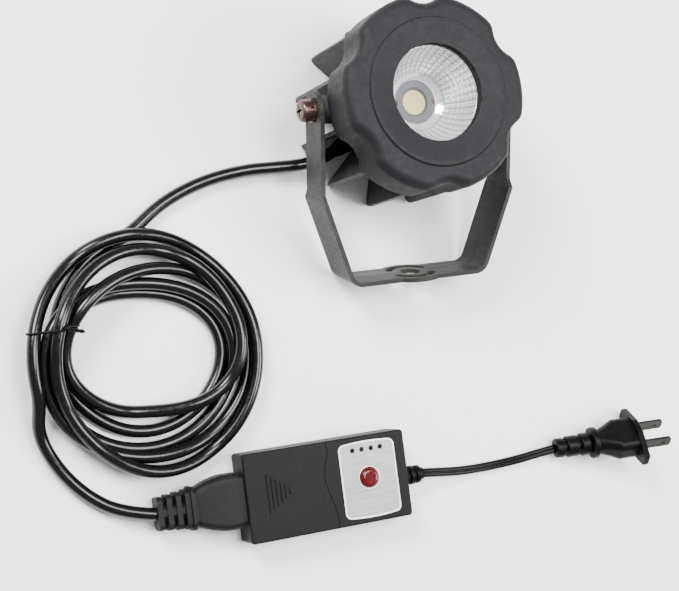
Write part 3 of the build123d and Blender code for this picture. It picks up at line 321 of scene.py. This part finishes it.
PLASTICS = {
    # look: name, color, rough, grain, depth, shine, speckle
    "gasket": ("gasket_rubber", (0.006, 0.006, 0.006), 0.7, 1500, 0.00004),
    "holder": ("holder_plastic", (0.10, 0.10, 0.115), 0.4, 1800, 0.00003),
    "board": ("board_mask", (0.01, 0.09, 0.03), 0.4, 1800, 0.00003),
    "cord": ("cord_pvc", DARK_PVC, 0.2, 700, 0.000006, 0.34),
    "gloss": ("gloss_pvc", DARK_PVC, 0.38, 1200, 0.00002, 0.09),
    "tail": ("tail_pvc", DARK_PVC, 0.3, 1200, 0.00001, 0.12),
    "case": ("case_plastic", (0.0030, 0.0030, 0.0033), 0.5, 1700, 0.00014, 0.11, 0.8),
    "connector": (
        "connector_plastic", (0.0050, 0.0050, 0.0053), 0.5, 1700, 0.00010, 0.12, 0.6
    ),
    "border": ("label_border_white", (0.75, 0.75, 0.75), 0.4, 1800, 0.00002),
    "red": ("button_red_gloss", (0.05, 0.0001, 0.0004), 0.16, 700, 0.000005, 0.4),
    "ring": ("ring_plastic", (0.62, 0.42, 0.42), 0.35, 1800, 0.00002),
    "light": ("light_lens", (0.002, 0.002, 0.0025), 0.2, 500, 0.00001, 0.2),
}


def make_materials():
    made = {
        "glass": clear_glass("lens_glass_clear"),
        "mirror": mirror_metal("reflector_metal", REFLECTOR_ROWS, REFLECTOR_COLUMNS),
        "phosphor": phosphor("phosphor_gel"),
        "label": label_metal("label_satin"),
    }
    for build, table in ((coated_metal, COATS), (brushed_metal, METALS), (moulded, PLASTICS)):
        for look, values in table.items():
            made[look] = build(*values)
    return made


LOOKS = {
    "fins": ["heat_sink", "rear_cover"],
    "bezel": ["bezel"],
    "bracket": ["bracket"],
    "steel": [
        "rear_cover_screws", "bezel_screws", "pivot_bolts", "flat_washers", "spring_washers",
        "holder_screws", "controller_screws",
    ],
    "gasket": [
        "rear_gasket", "bezel_gasket", "lens_gasket", "thermal_pad", "gland_seal",
        "friction_washers",
    ],
    "glass": ["lens_glass"],
    "holder": ["cob_holder", "cob_board"],
    "phosphor": ["cob_phosphor"],
    "board": ["driver_board", "controller_board"],
    "case": [
        "controller_base", "controller_cover", "controller_lid", "driver_parts", "board_parts",
        "switch_plunger", "button_switch",
    ],
    "connector": ["connector_boot", "connector_body"],
    "gloss": ["cable_gland", "gland_nut", "pin_carrier", "strain_relief", "plug_boot", "plug_body"],
    "label": ["label_plate"],
    "light": ["indicator_lights"],
    "ring": ["button_ring"],
    "red": ["set_button"],
    "copper": ["connector_sockets", "controller_pins"],
    "nickel": ["plug_blades"],
}


def dress(materials):
    """Gives every CAD node that stays its detailed material."""
    for look, names in LOOKS.items():
        for name in names:
            for slot in nodes[name].material_slots:
                slot.material = materials[look]


# ------------------------------------------------------------------ cords
# Millimetres, about the lamp's axis. The lead's and the return's routes repeat part.py's points.
CORD = 6.4
GLAND_ANGLE = math.radians(208.0)
GLAND_POINTS = ((28.5, 10.5), (39.5, 9.9))
LEAD_ROUTE = [
    (-46.9, -22.2, 8.3),
    (-62.5, -22.2, 5.8),
    (-80.0, -22.0, 3.9),
    (-103.0, -25.9, 3.3),
    (-125.5, -35.2, 3.3),
]
RETURN_ROUTE = [
    (-199.5, -139.0, 5.6),
    (-192.0, -156.5, 3.8),
    (-179.5, -172.0, 4.0),
    (-164.5, -182.2, 6.6),
    (-148.5, -185.5, 8.5),
]
COIL_CENTRE = (-143.3, -109.6)
# The inner and outer strands' ellipses: centre, half width and half depth.
STRAND_SMALL = (-143.3, -107.2, 39.5, 29.0)
STRAND_LARGE = (-143.3, -109.6, 59.4, 61.4)
POINTS_PER_TURN = 24
COIL_TURNS = 5.31
# How far out the strand lies, 0 inside and 1 outside, at each quarter turn anticlockwise from
# the north.
SPREAD = [
    0.96, 0.16, 0.28, 0.02,
    0.02, 0.42, 0.52, 0.30,
    0.16, 0.60, 0.64, 0.72,
    0.36, 0.05, 0.00, 0.44,
    0.72, 0.34, 0.86, 0.88,
    0.97, 0.86, 1.00, 0.98,
    0.98, 1.00, 1.00,
]
LAMP_CORD_SOLIDS = ("lamp_lead", "cord_coil", "return_lead")
# The steepest that a strand climbs, its lowest middle line, and how far apart two lines are laid.
STRAND_SLOPE = 0.22
FLOOR_LEVEL = 3.3
STRAND_GAP = 6.7
LAYING_PASSES = 8
NEIGHBOURS_SKIPPED = 4
# Steps along each part of a curve, round its section, and along a route's line.
CURVE_STEPS = 8
ROUND_STEPS = 6
LINE_STEPS = 12


def spread_at(quarter):
    """The strand's place between the inner and outer ellipses, eased between quarter turns."""
    index = min(int(quarter), len(SPREAD) - 2)
    part = quarter - index
    before = SPREAD[max(index - 1, 0)]
    here, after = SPREAD[index], SPREAD[index + 1]
    beyond = SPREAD[min(index + 2, len(SPREAD) - 1)]
    leaving, arriving = (after - before) / 2, (beyond - here) / 2
    a = 2 * (here - after) + leaving + arriving
    b = 3 * (after - here) - 2 * leaving - arriving
    return max(0.0, min(1.0, here + part * (leaving + part * (b + part * a))))


def coil_plan():
    """The coil's turns as plan points, anticlockwise from the north side."""
    points = []
    count = round(COIL_TURNS * POINTS_PER_TURN)
    for index in range(count + 1):
        turn = index / POINTS_PER_TURN
        angle = math.pi / 2 + 2 * math.pi * turn
        out = spread_at(4 * turn)
        pairs = zip(STRAND_SMALL, STRAND_LARGE)
        middle_x, middle_y, width, depth = (small + (large - small) * out for small, large in pairs)
        points.append((middle_x + width * math.cos(angle), middle_y + depth * math.sin(angle)))
    return points


def to_segment(point, start, end):
    """The plan distance from a point to a segment, and how far along the segment it is nearest."""
    along = (end[0] - start[0], end[1] - start[1])
    length = along[0] ** 2 + along[1] ** 2
    offset = (point[0] - start[0], point[1] - start[1])
    part = max(0.0, min(1.0, (offset[0] * along[0] + offset[1] * along[1]) / length))
    return math.hypot(offset[0] - part * along[0], offset[1] - part * along[1]), part


def laid_heights(plan, floor):
    """How high each point lies on the points before it, with long low humps over crossings."""
    heights = list(floor)
    near = []
    for index, point in enumerate(plan):
        found = []
        for other in range(index - NEIGHBOURS_SKIPPED):
            gap, part = to_segment(point, plan[other], plan[other + 1])
            if gap < STRAND_GAP:
                found.append((other, part, math.sqrt(STRAND_GAP**2 - gap**2)))
        near.append(found)
    steps = [math.dist(a, b) for a, b in zip(plan, plan[1:])]
    for _ in range(LAYING_PASSES):
        for index, found in enumerate(near):
            for other, part, rise in found:
                under = heights[other] * (1 - part) + heights[other + 1] * part
                heights[index] = max(heights[index], under + rise)
        for index in range(1, len(plan)):
            fallen = heights[index - 1] - STRAND_SLOPE * steps[index - 1]
            heights[index] = max(heights[index], fallen)
        for index in range(len(plan) - 2, -1, -1):
            fallen = heights[index + 1] - STRAND_SLOPE * steps[index]
            heights[index] = max(heights[index], fallen)
    return heights


def route_curve(name, points, resolution):
    """A curve of one open smooth spline, with the route's points as its control points."""
    data = bpy.data.curves.new(name, "CURVE")
    data.dimensions = "3D"
    spline = data.splines.new("NURBS")
    spline.points.add(len(points) - 1)
    for control, point in zip(spline.points, points):
        control.co = (*point, 1.0)
    spline.order_u = 3
    spline.use_endpoint_u = True
    spline.resolution_u = resolution
    return data


def curve_piece(name, points, body, material, bevel):
    """A smooth round tube along a route, riding on a body."""
    data = route_curve(name, points, CURVE_STEPS)
    data.bevel_depth = bevel
    data.bevel_resolution = ROUND_STEPS
    data.use_fill_caps = True
    data.materials.append(material)
    piece = bpy.data.objects.new(name, data)
    bpy.context.scene.collection.objects.link(piece)
    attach(piece, body)
    return piece


def route_line(name, points):
    """The points of the smooth line that a route's spline makes."""
    bare = bpy.data.objects.new(name, route_curve(name, points, LINE_STEPS))
    mesh = bpy.data.meshes.new_from_object(bare)
    line = [vertex.co.copy() for vertex in mesh.vertices]
    bpy.data.meshes.remove(mesh)
    bpy.data.objects.remove(bare)
    return line


def lamp_cord_points():
    """The lamp cord's route: out of the gland, round the coil, and on to the connector."""
    out_x, out_y = math.cos(GLAND_ANGLE), math.sin(GLAND_ANGLE)
    gland = [(radius * out_x, radius * out_y, height) for radius, height in GLAND_POINTS]
    plan = coil_plan()
    heights = laid_heights(plan, [FLOOR_LEVEL] * len(plan))
    turns = [(x, y, z) for (x, y), z in zip(plan, heights)]
    return about_axis(gland + LEAD_ROUTE + turns + RETURN_ROUTE)


def make_lamp_cord(materials):
    """The round lead, out of the gland, round the coil and on to the connector, with its tie."""
    points = lamp_cord_points()
    cord = curve_piece("lamp_cord", points, "lamp", materials["cord"], bevel=CORD / 2 * MM)
    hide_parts(*LAMP_CORD_SOLIDS)
    tie = make_twist_tie(materials, route_line("lamp_cord_line", points))


TAIL_WIDTH = 4.8
TAIL_THICKNESS = 2.8
CORE_STEPS = 20
TAIL_ROUTE = [
    (-4.5, -188.5, 8.5),
    (6.0, -189.8, 7.2),
    (20.0, -191.6, 4.0),
    (37.5, -192.2, 1.9),
    (55.0, -191.4, 2.1),
    (68.0, -189.8, 3.8),
    (78.5, -188.5, 5.8),
]


def twin_core_section():
    """The flat cord's section: two round cores side by side, joined where they meet."""
    radius = TAIL_THICKNESS / 2
    apart = TAIL_WIDTH / 2 - radius
    open_angle = math.pi - math.acos(apart / radius)
    section = []
    for side in (1, -1):
        for step in range(CORE_STEPS):
            angle = open_angle * (2 * step / CORE_STEPS - 1)
            if side < 0:
                angle += math.pi
            across = side * apart + radius * math.cos(angle)
            section.append((across * MM, radius * math.sin(angle) * MM))
    return section


def mesh_piece(name, mesh_data, body, material):
    """A new piece from finished mesh data, riding on a body."""
    mesh = bpy.data.meshes.new(name)
    mesh_data.to_mesh(mesh)
    mesh_data.free()
    mesh.materials.append(material)
    piece = bpy.data.objects.new(name, mesh)
    bpy.context.scene.collection.objects.link(piece)
    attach(piece, body)
    return piece


def smooth_all(mesh_data):
    for face in mesh_data.faces:
        face.smooth = True


def join_rings(made, first, second):
    """The band of faces between two closed rings with as many points."""
    count = len(first)
    for index in range(count):
        following = (index + 1) % count
        made.faces.new((first[index], first[following], second[following], second[index]))


def tube_along(line, section):
    """A closed tube whose flat section keeps its width level across the line."""
    made = bmesh.new()
    rings = []
    for index, point in enumerate(line):
        before, after = line[max(index - 1, 0)], line[min(index + 1, len(line) - 1)]
        forward = (after - before).normalized()
        side = Vector((0, 0, 1)).cross(forward).normalized()
        up = forward.cross(side)
        corners = [point + side * across + up * lift for across, lift in section]
        rings.append([made.verts.new(corner) for corner in corners])
    for first, second in zip(rings, rings[1:]):
        join_rings(made, first, second)
    made.faces.new(list(reversed(rings[0])))
    made.faces.new(rings[-1])
    smooth_all(made)
    bmesh.ops.recalc_face_normals(made, faces=made.faces[:])
    return made


def make_tail_cord(materials):
    line = route_line("tail_route", about_axis(TAIL_ROUTE))
    tube = tube_along(line, twin_core_section())
    tail = mesh_piece("tail_flat_cord", tube, "controller", materials["tail"])
    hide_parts("tail_cord")


# ------------------------------------------------------------------ reflector
# Facets in rows and columns; depth in millimetres, radii and skin in metres.
REFLECTOR_ROWS = 8
REFLECTOR_COLUMNS = 40
FACET_STEPS = 4
FACET_DEPTH = 0.3
FACET_DEPTH_AT_BASE = 0.4
SMOOTH_PART = 0.2
SMOOTH_ROWS = 4
BASE_RADIUS = 0.011
RIM_RADIUS = 0.0236
BOWL_BEND = 0.62
SKIN = 0.0005


def reflector_profile(part):
    """Radius and height of the bowl's inside, from its base, 0, to its rim, 1, in metres."""
    low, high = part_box("reflector")
    angle = part * math.pi / 2
    outward = BOWL_BEND * math.sin(angle) + (1 - BOWL_BEND) * part
    upward = BOWL_BEND * (1 - math.cos(angle)) + (1 - BOWL_BEND) * part
    return BASE_RADIUS + (RIM_RADIUS - BASE_RADIUS) * outward, low.z + (high.z - low.z) * upward


def make_reflector(materials):
    """The bowl's inside with rows of hollow facets above a smooth ring, over a thin outer skin."""
    made = bmesh.new()
    rows = REFLECTOR_ROWS * FACET_STEPS
    columns = REFLECTOR_COLUMNS * FACET_STEPS
    rings = []
    for row in range(-SMOOTH_ROWS, rows + 1):
        smooth = SMOOTH_PART * (row + SMOOTH_ROWS) / SMOOTH_ROWS
        part = smooth if row < 0 else SMOOTH_PART + (1 - SMOOTH_PART) * row / rows
        radius, height = reflector_profile(part)
        up = row / FACET_STEPS % 1 - 0.5
        ring = []
        for column in range(columns):
            across = column / FACET_STEPS % 1 - 0.5
            hollow = max(0.0, 1 - 4 * across**2) * max(0.0, 1 - 4 * up**2) if row > 0 else 0.0
            deep = FACET_DEPTH_AT_BASE + (1 - FACET_DEPTH_AT_BASE) * part
            reach = radius + FACET_DEPTH * MM * hollow * deep
            angle = 2 * math.pi * column / columns
            ring.append(made.verts.new((reach * math.cos(angle), reach * math.sin(angle), height)))
        rings.append(ring)
    for first, second in zip(rings, rings[1:]):
        for column in range(columns):
            following = (column + 1) % columns
            made.faces.new((first[column], second[column], second[following], first[following]))
    bmesh.ops.translate(made, verts=made.verts[:], vec=AXIS)
    smooth_all(made)
    bmesh.ops.solidify(made, geom=made.faces[:], thickness=SKIN)
    bmesh.ops.recalc_face_normals(made, faces=made.faces[:])
    bowl = mesh_piece("reflector_bowl", made, "lamp", materials["mirror"])
    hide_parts("reflector")


# ------------------------------------------------------------------ twist tie
# Millimetres: where the tie crosses the bundle, its wire's radius, the slack round the strands,
# and how far apart its two ends leave the bundle.
TIE_LINE = -91.5
TIE_WIRE = 0.55
TIE_GAP = 0.15
TIE_DRIFT = 2.4
HULL_STEPS = 10
# The twisted ends: their direction, and their pitch, radius and fall at each step.
TWIST_TOWARD = (0.96, -0.22, 0)
TWIST_STEPS = 14
TWIST_TURN = math.pi / 3
TWIST_PITCH = 0.75
TWIST_RADIUS = 0.6
TWIST_START = 1.2
TWIST_FALL = 0.5
TWIST_LOWEST = 1.4


def hull(points):
    """The convex hull of plane points, anticlockwise."""
    ordered = sorted(set(points))

    def half(row):
        kept = []
        for point in row:
            while len(kept) > 1:
                (ax, ay), (bx, by) = kept[-2:]
                if (bx - ax) * (point[1] - ay) - (by - ay) * (point[0] - ax) > 0:
                    break
                kept.pop()
            kept.append(point)
        return kept[:-1]

    return half(ordered) + half(ordered[::-1])


def strands_across(line, level):
    """Where the cord's west strands cross a line across the coil, as x and z in metres."""
    found = []
    for a, b in zip(line, line[1:]):
        if (a.y - level) * (b.y - level) < 0 and a.x < COIL_CENTRE[0] * MM:
            part = (level - a.y) / (b.y - a.y)
            found.append((a.x + part * (b.x - a.x), a.z + part * (b.z - a.z)))
    return found


def make_twist_tie(materials, line):
    """A wire tie drawn round the bundle's west strands, with its two ends twisted together."""
    level = AXIS.y + TIE_LINE * MM
    reach = (CORD / 2 + TIE_WIRE + TIE_GAP) * MM
    lowest = TIE_WIRE * MM
    ring = []
    for x, z in strands_across(line, level):
        for step in range(2 * HULL_STEPS):
            angle = math.pi * step / HULL_STEPS
            ring.append((x + reach * math.cos(angle), max(lowest, z + reach * math.sin(angle))))
    outline = hull(ring)
    start = max(range(len(outline)), key=lambda index: outline[index][0] + 2 * outline[index][1])
    outline = outline[start:] + outline[:start]
    points = []
    for index, (x, z) in enumerate(outline):
        drift = (index / len(outline) - 0.5) * TIE_DRIFT * MM
        points.append(Vector((x, level + drift, z)))
    first, last = points[0], points[-1]
    # Each end runs on and they twist round each other, towards the middle of the coil.
    middle = (first + last) / 2
    toward = Vector(TWIST_TOWARD).normalized()
    across = Vector((-toward.y, toward.x, 0))
    ends = ([], [])
    for step in range(1, TWIST_STEPS + 1):
        turn = step * TWIST_TURN
        lift = Vector((0, 0, TWIST_START * MM - TWIST_FALL * MM * step))
        place = middle + toward * (step * TWIST_PITCH * MM) + lift
        place.z = max(place.z, TWIST_LOWEST * MM)
        for side, end in zip((1, -1), ends):
            swing = across * math.cos(turn) + Vector((0, 0, 1)) * math.sin(turn)
            end.append(place + swing * (side * TWIST_RADIUS * MM))
    route = list(reversed(ends[0])) + points + ends[1]
    tie = curve_piece("twist_tie_wire", route, "lamp", materials["gloss"], bevel=TIE_WIRE * MM)
    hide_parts("twist_tie")
    return tie


# ------------------------------------------------------------------ label's border
# Millimetres from the label's edge and face.
BORDER_WIDTH = 0.8
BORDER_RISE = 0.15
BORDER_INSET = 0.05
BORDER_SUNK = 0.04
BORDER_CORNER = 3.0
BORDER_BOW = 1.0
CORNER_STEPS = 8
EDGE_STEPS = 12


def label_outline(low, high, inset):
    """The label's edge moved in by an inset, its corners rounded and its sides along x bowed."""
    middle_x, middle_y = (low.x + high.x) / 2, (low.y + high.y) / 2
    corner = BORDER_CORNER * MM
    reach_x, reach_y = (high.x - low.x) / 2 - corner, (high.y - low.y) / 2 - corner
    outline = []
    for quarter, (side_x, side_y) in enumerate(((1, 1), (-1, 1), (-1, -1), (1, -1))):
        for step in range(CORNER_STEPS + 1):
            angle = (quarter + step / CORNER_STEPS) * math.pi / 2
            x = side_x * reach_x + (corner - inset) * math.cos(angle)
            y = side_y * reach_y + (corner - inset) * math.sin(angle)
            outline.append((x, y))
        if quarter in (0, 2):
            start, end = side_x * reach_x, -side_x * reach_x
            for step in range(1, EDGE_STEPS):
                outline.append((start + (end - start) * step / EDGE_STEPS, outline[-1][1]))
    half = (high.x - low.x) / 2
    bowed = []
    for x, y in outline:
        bow = math.copysign(BORDER_BOW * MM * (x / half) ** 2, y)
        bowed.append((middle_x + x, middle_y + y - bow))
    return bowed


def make_label_border(materials):
    """The white printed edge of the label, as a thin raised frame on its face."""
    low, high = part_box("label_plate")
    made = bmesh.new()
    sections = [
        (BORDER_INSET, 0.0), (BORDER_INSET, BORDER_RISE), (BORDER_WIDTH, BORDER_RISE),
        (BORDER_WIDTH, 0.0),
    ]
    rings = []
    for inset, rise in sections:
        outline = label_outline(low, high, inset * MM)
        level = high.z + (rise - BORDER_SUNK) * MM
        rings.append([made.verts.new((x, y, level)) for x, y in outline])
    for first, second in zip(rings, rings[1:] + rings[:1]):
        join_rings(made, first, second)
    bmesh.ops.recalc_face_normals(made, faces=made.faces[:])
    mesh_piece("label_border", made, "controller", materials["border"])


# ------------------------------------------------------------------ floor and light
FLOOR_HALF = 6.0
WORLD_STRENGTH = 0.5
LIT_SPOT = (-0.05, -0.05, 0)
# Each light's name, place, target, size in metres and power in watts.
LIGHTS = [
    ("key", (-0.75, 0.75, 0.95), LIT_SPOT, (0.5, 0.5), 40),
    ("fill", (0.9, -0.3, 0.9), LIT_SPOT, (0.5, 0.5), 20),
    ("top", (0.15, 0.1, 1.3), (0, 0, 0), (0.6, 0.6), 26),
]


def make_stage():
    mesh = bpy.data.meshes.new("floor")
    corners = [
        (side_x * FLOOR_HALF, side_y * FLOOR_HALF, 0)
        for side_x, side_y in ((-1, -1), (1, -1), (1, 1), (-1, 1))
    ]
    mesh.from_pydata(corners, [], [(0, 1, 2, 3)])
    floor = bpy.data.objects.new("floor", mesh)
    bpy.context.scene.collection.objects.link(floor)
    look = Shader("floor_paper", (0.93, 0.93, 0.93), 0.9)
    look.bump(look.noise(60, 3), 0.05, 0.0002)
    mesh.materials.append(look.material)


def area_light(name, place, target, size, power):
    data = bpy.data.lights.new(name, "AREA")
    data.shape = "RECTANGLE"
    data.size, data.size_y = size
    data.energy = power
    light = bpy.data.objects.new(name, data)
    light.location = place
    toward = Vector(target) - Vector(place)
    light.rotation_euler = toward.to_track_quat("-Z", "Y").to_euler()
    bpy.context.scene.collection.objects.link(light)


def make_lights():
    world = bpy.data.worlds.new("soft_room")
    world.use_nodes = True
    sky = world.node_tree.nodes["Background"]
    sky.inputs["Color"].default_value = (1, 1, 1, 1)
    sky.inputs["Strength"].default_value = WORLD_STRENGTH
    bpy.context.scene.world = world
    for values in LIGHTS:
        area_light(*values)


materials = make_materials()
make_camera()
make_lamp_cord(materials)
make_tail_cord(materials)
dress(materials)
make_reflector(materials)
make_label_border(materials)
make_stage()
make_lights()
